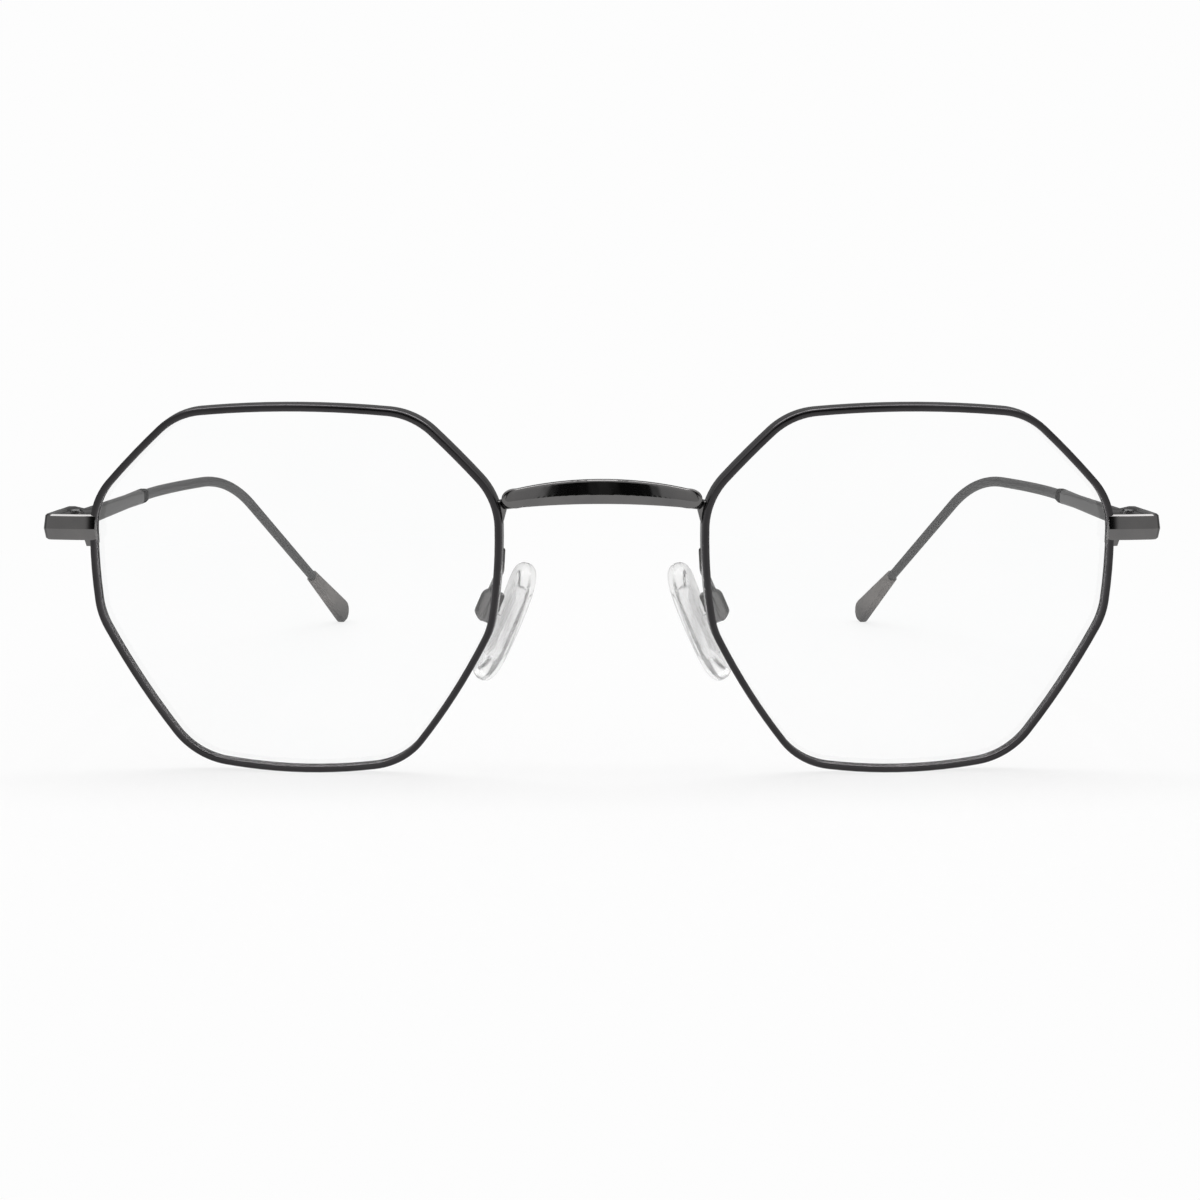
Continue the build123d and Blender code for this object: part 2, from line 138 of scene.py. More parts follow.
# Sleeve: each bend by its radius and its turn
SLEEVE_DIAMETER = 1.55 * MM
SLEEVE_MOUTH = 1.13
SLEEVE_SIDES = 28
SLEEVE_STEP = math.radians(1.2)
SIDE_CURVE = (108 * MM, math.radians(14.7))
EAR_BEND = (38 * MM, math.radians(29.5))

# Endpiece
ENDPIECE_KINK = 62.5 * MM
ENDPIECE_FRONT = -67.2 * MM
ENDPIECE_DRAW = 0.3 * MM
ENDPIECE_ROUNDING = 0.2 * MM
ENDPIECE_EDGE_ANGLE = 18

# Rim. Its faces lean out or in by RIM_LEAN or more, and an edge that heads outwards by more
# than RIM_ACROSS runs across it.
RIM_DEPTH = 2.0 * MM
RIM_GROOVE_START = 0.33 * MM
RIM_ROUNDING = 0.25 * MM
RIM_LIP = 0.13 * MM
RIM_SKIN = 0.03 * MM
RIM_FACE_TOLERANCE = 0.02 * MM
RIM_LEAN = 0.15
RIM_ACROSS = 0.8
# Depth over which the painted dark reflection on the rim's front runs out
PAINTED_REFLECTION_REACH = 0.14 * MM

# Bridge
BRIDGE_GRAIN = 0.075 * MM
BRIDGE_POLISH = 42
CHEEK_CENTRE = Vector((10.05, -73.5, 33.85)) * MM
CHEEK_SIZE = (1.6 * MM, 1.2 * MM, 1.15 * MM)

# Nose pad
PAD_LENGTH = 15.0 * MM
PAD_WIDTH = 7.7 * MM
PAD_THICKNESS = 2.4 * MM
PAD_LIFT = 0.95 * MM
PAD_CORNER = 3.6 * MM
PAD_EDGE = 1.05 * MM
PAD_BEND = math.radians(14)
PAD_CUTS = range(-4, 5)
PAD_PIN_RISE = 1.15 * MM

# Cup behind the pad
CUP_LENGTH = 3.8 * MM
CUP_WIDTH = 2.5 * MM
CUP_BACK = 2.15 * MM
CUP_RIM = 0.45 * MM
CUP_FLOOR = 1.15 * MM
CUP_WALL = 0.45 * MM
CUP_ROUNDING = 1.2 * MM
CUP_CORNER = 0.5 * MM
CUP_BROKEN_EDGE = 0.08 * MM

# Wire that carries the cup
ARM_WIRE = 1.0 * MM
ARM_BEND = 1.0 * MM
ARM_NECK = 2.3 * MM
ARM_TAIL = 0.6 * MM
ARM_DEPTH = -1.15 * MM
ARM_END_ROUNDING = 0.35 * MM
ARM_SIDES = 20
ARM_STEP = math.radians(9)
PAD_SCREW_HALF = 1.25 * MM

# Rods: a direction that none of them runs along, and the fewest steps in an arc
ROD_ACROSS = Vector((1, 0, 0.01))
FEWEST_STEPS = 4

# Screws: name, where the shank starts under the head, which way it runs, then in millimetres the
# shank's diameter and length, the head's diameter and height, and the slot's width
SCREWS = {
    "closing_screw": (
        "lock_screw_left", LOCK_SCREW_BOTTOM, LENS_UP,
        0.8, 3.1, 1.15, 0.3, 0.22,
    ),
    "hinge_screw": (
        "hinge_screw_left_slotted", HINGE + Vector((0, 0, HINGE_HALF_STACK)), Vector((0, 0, -1)),
        1.0, 2.5, 1.55, 0.28, 0.28,
    ),
    "pad_screw": (
        "pad_screw_left_slotted", PAD_PIN - PAD_BACK * PAD_SCREW_HALF, PAD_BACK,
        0.7, 2.5, 1.05, 0.22, 0.2,
    ),
}
SLOT_HEADING = Vector((0.8, 0.6, 0.02))
SLOT_OVERRUN = 1.2
HEAD_DOME = 0.6

# Finishes: how fine the marks and grain are, how strongly lines and grain show, and between
# which values of the marks the colour goes from dark to light
MARKS_ON_METAL = 160.0
MARKS_ON_PLASTIC = 140.0
MARKS_ON_CLEAR = 90.0
MARKS_ON_INSERT = 300.0
MOULD_GRAIN = 4000.0
LINE_STRENGTH = 0.5
GRAIN_STRENGTH = 0.4
MARK_STOPS = (0.3, 0.7)
CLEAR_STOPS = (0.2, 0.8)


# Handling of pieces

def deselect_all():
    bpy.ops.object.select_all(action="DESELECT")


def pick(piece):
    deselect_all()
    piece.select_set(True)
    bpy.context.view_layer.objects.active = piece


def edit(piece):
    pick(piece)
    bpy.ops.object.mode_set(mode="EDIT")


def finish_edit():
    bpy.ops.object.mode_set(mode="OBJECT")


# Selects the faces, edges or corners of a piece in edit mode for which wanted() is true
def select(piece, kind, wanted):
    bpy.ops.mesh.select_mode(type=kind)
    bpy.ops.mesh.select_all(action="DESELECT")
    bpy.ops.object.mode_set(mode="OBJECT")
    mesh = piece.data
    if kind == "FACE":
        for face in mesh.polygons:
            face.select = wanted(face.center, face.normal)
    elif kind == "EDGE":
        for edge in mesh.edges:
            edge.select = wanted(*[mesh.vertices[end].co for end in edge.vertices])
    else:
        for vertex in mesh.vertices:
            vertex.select = wanted(vertex.co)
    bpy.ops.object.mode_set(mode="EDIT")


def apply_place(piece, matrix):
    pick(piece)
    piece.matrix_world = matrix
    bpy.ops.object.transform_apply(location=True, rotation=True, scale=True)


def outward(piece):
    edit(piece)
    bpy.ops.mesh.select_all(action="SELECT")
    bpy.ops.mesh.normals_make_consistent(inside=False)
    finish_edit()


def smooth(piece, degrees):
    pick(piece)
    bpy.ops.object.shade_smooth_by_angle(angle=math.radians(degrees))


def apply_modifier(piece, kind, **settings):
    pick(piece)
    modifier = piece.modifiers.new(kind.lower(), kind)
    for name, value in settings.items():
        setattr(modifier, name, value)
    bpy.ops.object.modifier_apply(modifier=modifier.name)


def bevel_edges(piece, width, segments=3, angle=30, miter="MITER_ARC"):
    apply_modifier(
        piece, "BEVEL", width=width, segments=segments, limit_method="ANGLE",
        angle_limit=math.radians(angle), use_clamp_overlap=True, miter_outer=miter,
    )


def round_edges(offset, segments, **more):
    bpy.ops.mesh.bevel(offset=offset, segments=segments, profile=0.5, affect="EDGES", **more)


def extrude_by(offset):
    bpy.ops.mesh.extrude_region_move(TRANSFORM_OT_translate={"value": offset})


# A cube of a given size and middle, to be shaped further
def add_block(name, size, middle):
    deselect_all()
    bpy.ops.mesh.primitive_cube_add(size=1)
    block = bpy.context.object
    block.name = name
    apply_place(block, Matrix.Translation(middle) @ Matrix.Diagonal((*size, 1)))
    return block


def mirrored(piece, name):
    copy = piece.copy()
    copy.data = piece.data.copy()
    copy.name = name
    bpy.context.scene.collection.objects.link(copy)
    apply_place(copy, Matrix.Scale(-1, 4, Vector((1, 0, 0))))
    outward(copy)
    return copy


# A place whose Z is along and whose X is across
def frame_at(origin, across, along):
    z_axis = along.normalized()
    y_axis = z_axis.cross(across).normalized()
    x_axis = y_axis.cross(z_axis)
    turned = Matrix((x_axis, y_axis, z_axis)).transposed().to_4x4()
    return Matrix.Translation(origin) @ turned


# Materials

def new_material(name):
    material = bpy.data.materials.new(name)
    material.use_nodes = True
    material.node_tree.nodes.clear()
    return material, material.node_tree


def add_node(tree, kind, **settings):
    node = tree.nodes.new(kind)
    for name, value in settings.items():
        setattr(node, name, value)
    return node


def link(tree, source, target):
    tree.links.new(source, target)


def principled(tree, **plain):
    shader = add_node(tree, "ShaderNodeBsdfPrincipled")
    for name, value in plain.items():
        shader.inputs[name.replace("_", " ")].default_value = value
    return shader


def show(tree, shader, output_kind="ShaderNodeOutputMaterial"):
    output = add_node(tree, output_kind)
    link(tree, shader.outputs[0], output.inputs["Surface"])


def ramp(tree, factor, places, colours):
    node = add_node(tree, "ShaderNodeValToRGB")
    link(tree, factor, node.inputs["Fac"])
    for element, place, colour in zip(node.color_ramp.elements, places, colours):
        element.position = place
        element.color = (*colour, 1)
    return node.outputs["Color"]


def grey(value):
    return (value, value, value)


def add_math(tree, operation, first, second):
    node = add_node(tree, "ShaderNodeMath", operation=operation)
    for socket, value in zip(node.inputs, (first, second)):
        if isinstance(value, (int, float)):
            socket.default_value = value
        else:
            link(tree, value, socket)
    return node.outputs[0]


# From one value to another as the input goes from start to end
def slide(tree, source, start, end, low=0.0, high=1.0):
    node = add_node(tree, "ShaderNodeMapRange")
    link(tree, source, node.inputs["Value"])
    node.inputs["From Min"].default_value = start
    node.inputs["From Max"].default_value = end
    node.inputs["To Min"].default_value = low
    node.inputs["To Max"].default_value = high
    return node.outputs["Result"]


# One value where the mask is 1 and another where it is 0
def choose(tree, mask, chosen, other):
    unmasked = add_math(tree, "SUBTRACT", 1.0, mask)
    return add_math(
        tree, "ADD",
        add_math(tree, "MULTIPLY", mask, chosen),
        add_math(tree, "MULTIPLY", unmasked, other),
    )


def split_place(tree, coordinates="Object"):
    place = add_node(tree, "ShaderNodeTexCoord")
    split = add_node(tree, "ShaderNodeSeparateXYZ")
    link(tree, place.outputs[coordinates], split.inputs["Vector"])
    return split.outputs


def group_tree(name, inputs, outputs):
    tree = bpy.data.node_groups.new(name, "ShaderNodeTree")
    for socket, kind, value in inputs:
        made = tree.interface.new_socket(socket, in_out="INPUT", socket_type=kind)
        made.default_value = value
    for socket, kind in outputs:
        tree.interface.new_socket(socket, in_out="OUTPUT", socket_type=kind)
    return tree, add_node(tree, "NodeGroupInput"), add_node(tree, "NodeGroupOutput")


# Fine lines left by polishing or brushing, along one direction of the piece
def make_fine_lines():
    tree, given, made = group_tree(
        "fine_lines",
        [("Stretch", "NodeSocketVector", (2000, 60, 2000)), ("Detail", "NodeSocketFloat", 3.0)],
        [("Lines", "NodeSocketFloat")],
    )
    place = add_node(tree, "ShaderNodeTexCoord")
    stretched = add_node(tree, "ShaderNodeVectorMath", operation="MULTIPLY")
    noise = add_node(tree, "ShaderNodeTexNoise")
    noise.inputs["Scale"].default_value = 1.0
    link(tree, place.outputs["Object"], stretched.inputs[0])
    link(tree, given.outputs["Stretch"], stretched.inputs[1])
    link(tree, stretched.outputs["Vector"], noise.inputs["Vector"])
    link(tree, given.outputs["Detail"], noise.inputs["Detail"])
    link(tree, noise.outputs["Fac"], made.inputs["Lines"])
    return tree


# Cloudy marks left by handling, a few millimetres across
def make_handling_marks():
    tree, given, made = group_tree(
        "handling_marks",
        [("Scale", "NodeSocketFloat", 180.0)],
        [("Marks", "NodeSocketFloat")],
    )
    place = add_node(tree, "ShaderNodeTexCoord")
    noise = add_node(tree, "ShaderNodeTexNoise")
    noise.inputs["Detail"].default_value = 4.0
    noise.inputs["Roughness"].default_value = 0.6
    link(tree, place.outputs["Object"], noise.inputs["Vector"])
    link(tree, given.outputs["Scale"], noise.inputs["Scale"])
    link(tree, noise.outputs["Fac"], made.inputs["Marks"])
    return tree


fine_lines = make_fine_lines()
handling_marks = make_handling_marks()


def use_group(tree, group, **inputs):
    node = add_node(tree, "ShaderNodeGroup", node_tree=group)
    for name, value in inputs.items():
        node.inputs[name].default_value = value
    return node.outputs[0]


def scaled_colour(tree, colour, factor):
    node = add_node(tree, "ShaderNodeVectorMath", operation="SCALE")
    link(tree, colour, node.inputs[0])
    link(tree, factor, node.inputs["Scale"])
    return node.outputs["Vector"]


def lay_on(tree, shader, colour, marks, smoothest, roughest):
    link(tree, colour, shader.inputs["Base Color"])
    roughness = slide(tree, marks, 0.0, 1.0, smoothest, roughest)
    link(tree, roughness, shader.inputs["Roughness"])


def raise_grain(tree, shader, height, distance, strength):
    bump = add_node(tree, "ShaderNodeBump")
    bump.inputs["Distance"].default_value = distance
    bump.inputs["Strength"].default_value = strength
    link(tree, height, bump.inputs["Height"])
    link(tree, bump.outputs["Normal"], shader.inputs["Normal"])


# Plated metal, its colour scaled down by the given factor where the piece's attribute for it is
# 1: a painted dark reflection on the rims' fronts
def plated_metal(name, dark, light, smoothest, roughest, stretch, line_height, painted_dark_reflection=None):
    material, tree = new_material(name)
    shader = principled(tree, Metallic=1.0)
    marks = use_group(tree, handling_marks, Scale=MARKS_ON_METAL)
    colour = ramp(tree, marks, MARK_STOPS, (dark, light))
    if painted_dark_reflection is not None:
        paint = add_node(tree, "ShaderNodeAttribute", attribute_name="painted_dark_reflection")
        left_over = slide(tree, paint.outputs["Fac"], 0.0, 1.0, 1.0, painted_dark_reflection)
        colour = scaled_colour(tree, colour, left_over)
    lay_on(tree, shader, colour, marks, smoothest, roughest)
    lines = use_group(tree, fine_lines, Stretch=stretch)
    raise_grain(tree, shader, lines, line_height, LINE_STRENGTH)
    show(tree, shader)
    return material


# Soft plastic, its colour scaled down towards its low end where the last argument gives two
# heights and two factors
def soft_plastic(name, dark, light, smoothest, roughest, grain, sheen, darker_low_end=None):
    material, tree = new_material(name)
    shader = principled(tree, Specular_IOR_Level=sheen)
    marks = use_group(tree, handling_marks, Scale=MARKS_ON_PLASTIC)
    colour = ramp(tree, marks, MARK_STOPS, (dark, light))
    if darker_low_end is not None:
        colour = scaled_colour(tree, colour, slide(tree, split_place(tree)["Z"], *darker_low_end))
    lay_on(tree, shader, colour, marks, smoothest, roughest)
    grains = use_group(tree, handling_marks, Scale=MOULD_GRAIN)
    raise_grain(tree, shader, grains, grain, GRAIN_STRENGTH)
    show(tree, shader)
    return material


def clear_material(name, tint, smoothest, roughest, ior, milk=0.0, marks_scale=MARKS_ON_CLEAR):
    material, tree = new_material(name)
    shader = principled(tree, Transmission_Weight=1.0 - milk, IOR=ior)
    marks = use_group(tree, handling_marks, Scale=marks_scale)
    colour = ramp(tree, marks, CLEAR_STOPS, (tint, grey(1.0)))
    lay_on(tree, shader, colour, marks, smoothest, roughest)
    show(tree, shader)
    return material


polished_gunmetal = plated_metal(
    "polished_gunmetal", dark=(0.135, 0.133, 0.133), light=(0.17, 0.165, 0.163),
    smoothest=0.07, roughest=0.14, stretch=(1200, 1200, 1200), line_height=2e-7,
)
# Rims: colour scaled down to 0.35 on the front faces, a painted dark reflection where the fronts
# would mirror dark surroundings
rim_gunmetal = plated_metal(
    "dark_fronted_rim", dark=(0.105, 0.1, 0.104), light=(0.135, 0.13, 0.134),
    smoothest=0.16, roughest=0.24, stretch=(1500, 1500, 1500), line_height=2e-7, painted_dark_reflection=0.35,
)
satin_gunmetal = plated_metal(
    "satin_gunmetal", dark=(0.12, 0.118, 0.118), light=(0.165, 0.16, 0.16),
    smoothest=0.28, roughest=0.38, stretch=(9000, 120, 9000), line_height=2e-6,
)
screw_steel = plated_metal(
    "screw_steel", dark=grey(0.16), light=grey(0.22),
    smoothest=0.2, roughest=0.32, stretch=(3000, 3000, 3000), line_height=5e-7,
)
# Ring: near black and without any reflection, partly a black plastic ring and partly painted
# shade of the gap between arm and sleeve
dark_ring = soft_plastic(
    "dark_ring", dark=grey(0.006), light=grey(0.012),
    smoothest=0.45, roughest=0.55, grain=2e-6, sheen=0.0,
)
sleeve_plastic = soft_plastic(
    "dark_sleeve_plastic", dark=(0.02, 0.02, 0.021), light=(0.034, 0.033, 0.033),
    smoothest=0.34, roughest=0.46, grain=8e-7, sheen=0.6,
)
# Tip: its colour scaled down to a fifth at 0.8 mm above the floor, back to full at 5 mm
tip_plastic = soft_plastic(
    "grey_tip_plastic", dark=(0.11, 0.1, 0.094), light=(0.16, 0.146, 0.137),
    smoothest=0.32, roughest=0.45, grain=6e-6, sheen=0.5, darker_low_end=(0.8 * MM, 5.0 * MM, 0.2, 1.0),
)
clear_lens = clear_material(
    "clear_lens", tint=(0.985, 0.99, 0.99), smoothest=0.0, roughest=0.012, ior=1.5,
)
clear_pad = clear_material(
    "clear_pad_silicone", tint=(0.99, 0.99, 0.985), smoothest=0.08, roughest=0.16, ior=1.25,
    milk=0.12,
)
# The index is that of the hard insert against the silicone round it
pad_insert = clear_material(
    "milky_pad_insert", tint=grey(0.98), smoothest=0.12, roughest=0.25, ior=1.08,
    milk=0.07, marks_scale=MARKS_ON_INSERT,
)

FINISH = {
    "rim": rim_gunmetal, "bridge": polished_gunmetal, "endpiece": polished_gunmetal,
    "closing_block_upper": polished_gunmetal, "closing_block_lower": polished_gunmetal,
    "pad_arm": polished_gunmetal, "pad_box": polished_gunmetal,
    "front_hinge": satin_gunmetal, "temple_hinge": satin_gunmetal, "temple_arm": satin_gunmetal,
    "closing_screw": screw_steel, "hinge_screw": screw_steel, "pad_screw": screw_steel,
    "temple_ring": dark_ring, "temple_sleeve": sleeve_plastic, "temple_tip": tip_plastic,
    "nose_pad": clear_pad, "pad_core": pad_insert, "lens": clear_lens,
}
BODY_OF = {
    node: body
    for body, members in frame["record"]["behaviour"]["bodies"].items() for node in members
}


def kind_of(node):
    return node.rsplit("_", 1)[0] if node.endswith(SIDES) else node


def dress_cad_nodes():
    for name, node in nodes.items():
        for slot in node.material_slots:
            slot.material = FINISH[kind_of(name)]


def stand_for(piece, node):
    kind = kind_of(node)
    piece.data.materials.clear()
    piece.data.materials.append(FINISH[kind])
    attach(piece, BODY_OF[node])
    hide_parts(node)


# Pieces worked from the solids' own meshes

# A copy of a solid's mesh with its triangles joined up, free of what the frame wrote on it
def working_copy(node):
    piece = nodes[node].copy()
    piece.data = nodes[node].data.copy()
    piece.name = node + "_finished"
    bpy.context.scene.collection.objects.link(piece)
    for key in list(piece.keys()):
        del piece[key]
    piece.parent = None
    edit(piece)
    bpy.ops.mesh.select_all(action="SELECT")
    bpy.ops.mesh.remove_doubles(threshold=WELD_REACH)
    bpy.ops.mesh.customdata_custom_splitnormals_clear()
    bpy.ops.mesh.dissolve_limited(angle_limit=FLAT_ENOUGH)
    finish_edit()
    return piece


def make_tumbled(node, width):
    piece = working_copy(node)
    bevel_edges(piece, width)
    smooth(piece, degrees=35)
    stand_for(piece, node)


# The endpiece, its front drawn back a little where it meets the rim
def make_endpiece(side):
    piece = working_copy(f"endpiece_{side}")
    kink = ENDPIECE_KINK if side == "left" else -ENDPIECE_KINK
    edit(piece)
    bpy.ops.mesh.select_all(action="SELECT")
    bpy.ops.mesh.bisect(plane_co=(kink, 0, 0), plane_no=(1, 0, 0))
    select(
        piece, "VERT",
        lambda point: abs(point.x) < ENDPIECE_KINK - HAIR and point.y < ENDPIECE_FRONT,
    )
    bpy.ops.transform.translate(value=(0, ENDPIECE_DRAW, 0))
    finish_edit()
    bevel_edges(piece, ENDPIECE_ROUNDING, segments=4, angle=ENDPIECE_EDGE_ANGLE)
    smooth(piece, degrees=35)
    stand_for(piece, f"endpiece_{side}")


# The rim's wire, its four long corners well rounded and its lips drawn in over the lens. Its
# attribute for painted dark reflection is 1 at the front and runs out a little way down its
# flanks, so that the front is coloured darker as if it mirrored dark surroundings.
def make_rim(side):
    piece = working_copy(f"rim_{side}")
    turn = Vector((1 if side == "left" else -1, 1, 1))
    centre = LENS_CENTRE * turn
    ball = centre - LENS_FORWARD * turn * BASE_CURVE

    def depth_of(point):
        return BASE_CURVE - (point - ball).length

    def face_of(point):
        if abs(depth_of(point)) < RIM_FACE_TOLERANCE:
            return "front"
        if abs(depth_of(point) - RIM_DEPTH) < RIM_FACE_TOLERANCE:
            return "back"
        return None

    def is_long_corner(a, b):
        on_one_face = face_of(a) is not None and face_of(a) == face_of(b)
        heading_out = (b - a).normalized().dot(((a + b) / 2 - centre).normalized())
        return on_one_face and abs(heading_out) < RIM_ACROSS

    def outward_lean(point, normal):
        return normal.dot((point - centre).normalized())

    def is_on_lip(point):
        return not RIM_GROOVE_START <= depth_of(point) <= RIM_DEPTH - RIM_GROOVE_START

    def resize(factor):
        bpy.ops.transform.resize(value=(factor, factor, factor), center_override=centre)

    edit(piece)
    select(piece, "EDGE", is_long_corner)
    round_edges(RIM_ROUNDING, segments=4, clamp_overlap=True)
    select(
        piece, "FACE",
        lambda point, normal: outward_lean(point, normal) < -RIM_LEAN and is_on_lip(point),
    )
    resize(1 - RIM_LIP / LENS_HALF_WIDTH)
    select(piece, "FACE", lambda point, normal: outward_lean(point, normal) > RIM_LEAN)
    resize(1 + RIM_SKIN / LENS_HALF_WIDTH)
    finish_edit()
    # Painted dark reflection: full on the front faces, running out over a short depth down the
    # flanks
    painted_dark_reflection = piece.data.attributes.new("painted_dark_reflection", "FLOAT", "POINT")
    for vertex in piece.data.vertices:
        share = 1.0 - depth_of(vertex.co) / PAINTED_REFLECTION_REACH
        painted_dark_reflection.data[vertex.index].value = min(1.0, max(0.0, share))
    smooth(piece, degrees=32)
    stand_for(piece, f"rim_{side}")


# The bridge as cast and polished: full round cheeks, and every edge and inner corner runs soft
def make_bridge():
    piece = working_copy("bridge")
    cheeks = []
    for across in (-CHEEK_CENTRE.x, CHEEK_CENTRE.x):
        deselect_all()
        bpy.ops.mesh.primitive_cylinder_add(vertices=48, radius=1, depth=1)
        cheek = bpy.context.object
        place = Matrix.Translation((across, CHEEK_CENTRE.y, CHEEK_CENTRE.z))
        turned = Matrix.Rotation(math.pi / 2, 4, "X")
        apply_place(cheek, place @ Matrix.Diagonal((*CHEEK_SIZE, 1)) @ turned)
        cheeks.append(cheek)
    pick(piece)
    for cheek in cheeks:
        cheek.select_set(True)
    bpy.ops.object.join()
    apply_modifier(piece, "REMESH", mode="VOXEL", voxel_size=BRIDGE_GRAIN)
    apply_modifier(piece, "SMOOTH", factor=0.5, iterations=BRIDGE_POLISH)
    smooth(piece, ALL_ROUND)
    stand_for(piece, "bridge")


# Pieces made anew, the left one of each pair

# A round rod along straight runs joined by arcs
def bent_rod(name, points, radii, diameter, sides, step):
    here = points[0]
    ahead = (points[1] - points[0]).normalized()
    deselect_all()
    bpy.ops.mesh.primitive_circle_add(vertices=sides, radius=diameter / 2, fill_type="NGON")
    rod = bpy.context.object
    rod.name = name
    apply_place(rod, frame_at(here, ROD_ACROSS, ahead))
    edit(rod)
    bpy.ops.mesh.select_mode(type="FACE")
    bpy.ops.mesh.select_all(action="SELECT")
    for radius, corner, after in zip(radii, points[1:], points[2:]):
        onward = (after - corner).normalized()
        turn = ahead.angle(onward)
        reach = radius * math.tan(turn / 2)
        arc_start = corner - ahead * reach
        if (arc_start - here).length > TOUCHING:
            extrude_by(arc_start - here)
        axis = ahead.cross(onward).normalized()
        centre = arc_start + axis.cross(ahead) * radius
        # spin turns against the sense of its axis
        bpy.ops.mesh.spin(
            steps=max(FEWEST_STEPS, round(turn / step)), angle=-turn,
            center=centre, axis=axis, dupli=False,
        )
        here, ahead = corner + onward * reach, onward
    extrude_by(points[-1] - here)
    bpy.ops.mesh.select_all(action="SELECT")
    bpy.ops.mesh.remove_doubles(threshold=TOUCHING)
    bpy.ops.mesh.normals_make_consistent(inside=False)
    finish_edit()
    smooth(rod, degrees=40)
    return rod


# The sleeve, from the flared mouth at the ring over the ear bend to the tip
def make_sleeve():
    side_radius, side_turn = SIDE_CURVE
    bend_radius, bend_turn = EAR_BEND
    side_reach = side_radius * math.tan(side_turn / 2)
    bend_reach = bend_radius * math.tan(bend_turn / 2)
    first = SLEEVE_START + Vector((0, 1, 0)) * side_reach
    second = first + HEADING * (side_reach + bend_reach)
    sleeve = bent_rod(
        "sleeve_left", [SLEEVE_START, first, second, TIP_START], (side_radius, bend_radius),
        SLEEVE_DIAMETER, SLEEVE_SIDES, SLEEVE_STEP,
    )
    edit(sleeve)
    select(sleeve, "VERT", lambda point: point.y < SLEEVE_START.y + HAIR)
    bpy.ops.transform.resize(value=(1, 1, SLEEVE_MOUTH), center_override=SLEEVE_START)
    finish_edit()
    return sleeve


# The wire from its foot on the rim to the back of the cup
def make_arm_wire():
    neck = PAD_FRAME @ Vector((ARM_NECK, 0, ARM_DEPTH))
    tail = PAD_FRAME @ Vector((ARM_TAIL, 0, ARM_DEPTH))
    rod = bent_rod(
        "pad_arm_wire_left", [ARM_FOOT_TOP, ARM_FOOT_BOTTOM, neck, tail], (ARM_BEND, ARM_BEND),
        ARM_WIRE, ARM_SIDES, ARM_STEP,
    )
    bevel_edges(rod, ARM_END_ROUNDING, segments=4, angle=60, miter="MITER_SHARP")
    return rod


# The cup that holds the pad's lug: a full, rounded drop of metal, hollowed from the pad's side
def make_pad_cup():
    cup = add_block(
        "pad_cup_left", (CUP_LENGTH, CUP_WIDTH, CUP_RIM + CUP_BACK),
        (0, 0, (CUP_RIM - CUP_BACK) / 2),
    )
    edit(cup)
    select(cup, "EDGE", lambda a, b: max(a.z, b.z) < 0)
    round_edges(CUP_ROUNDING, segments=8)
    select(cup, "EDGE", lambda a, b: abs((a - b).normalized().z) > ALIGNED and max(a.z, b.z) > 0)
    round_edges(CUP_CORNER, segments=4)
    select(cup, "FACE", lambda middle, normal: normal.z > ALIGNED and middle.z > CUP_RIM - HAIR)
    bpy.ops.mesh.inset(thickness=CUP_WALL, use_even_offset=True)
    extrude_by(Vector((0, 0, -(CUP_RIM + CUP_FLOOR - CUP_WALL))))
    finish_edit()
    bevel_edges(cup, CUP_BROKEN_EDGE, segments=2, angle=50, miter="MITER_SHARP")
    apply_place(cup, PAD_FRAME)
    outward(cup)
    smooth(cup, degrees=50)
    return cup


# A soft pad: a plate with a full round edge, bent a little away from the nose at its ends
def make_pad():
    pad = add_block(
        "pad_left", (PAD_LENGTH, PAD_THICKNESS, PAD_WIDTH), (0, PAD_THICKNESS / 2, 0),
    )
    edit(pad)
    select(pad, "EDGE", lambda a, b: abs((a - b).normalized().y) > ALIGNED)
    round_edges(PAD_CORNER, segments=10)
    select(pad, "EDGE", lambda a, b: abs(a.y - b.y) < TOUCHING)
    round_edges(PAD_EDGE, segments=6)
    for across in PAD_CUTS:
        bpy.ops.mesh.select_all(action="SELECT")
        bpy.ops.mesh.bisect(plane_co=(across * MM, 0, 0), plane_no=(1, 0, 0))
    finish_edit()
    apply_modifier(pad, "SIMPLE_DEFORM", deform_method="BEND", deform_axis="Z", angle=-PAD_BEND)
    raised = Matrix.Translation((-PAD_PIN_RISE, 0, PAD_LIFT))
    apply_place(pad, PAD_FRAME @ raised @ Matrix.Rotation(math.pi / 2, 4, "X"))
    outward(pad)
    smooth(pad, ALL_ROUND)
    return pad


# A screw with a domed, slotted head at its start and a plain end
def make_screw(name, start, along, *sizes):
    shank, length, head, head_height, slot = (size * MM for size in sizes)
    deselect_all()
    bpy.ops.mesh.primitive_cylinder_add(vertices=32, radius=shank / 2, depth=length)
    screw = bpy.context.object
    screw.name = name
    apply_place(screw, Matrix.Translation((0, 0, length / 2)))
    edit(screw)
    select(screw, "FACE", lambda middle, normal: normal.z < -ALIGNED)
    extrude_by((0, 0, 0))
    bpy.ops.transform.resize(value=(head / shank, head / shank, 1))
    extrude_by(Vector((0, 0, -head_height)))
    select(screw, "EDGE", lambda a, b: max(a.z, b.z) < HAIR - head_height)
    round_edges(head_height * HEAD_DOME, segments=4)
    finish_edit()
    cutter = add_block(
        "slot_cutter", (head * SLOT_OVERRUN, slot, head_height), (0, 0, -head_height),
    )
    apply_modifier(screw, "BOOLEAN", operation="DIFFERENCE", object=cutter, solver="EXACT")
    bpy.data.objects.remove(cutter)
    apply_place(screw, frame_at(start, SLOT_HEADING, along))
    outward(screw)
    smooth(screw, degrees=40)
    return screw


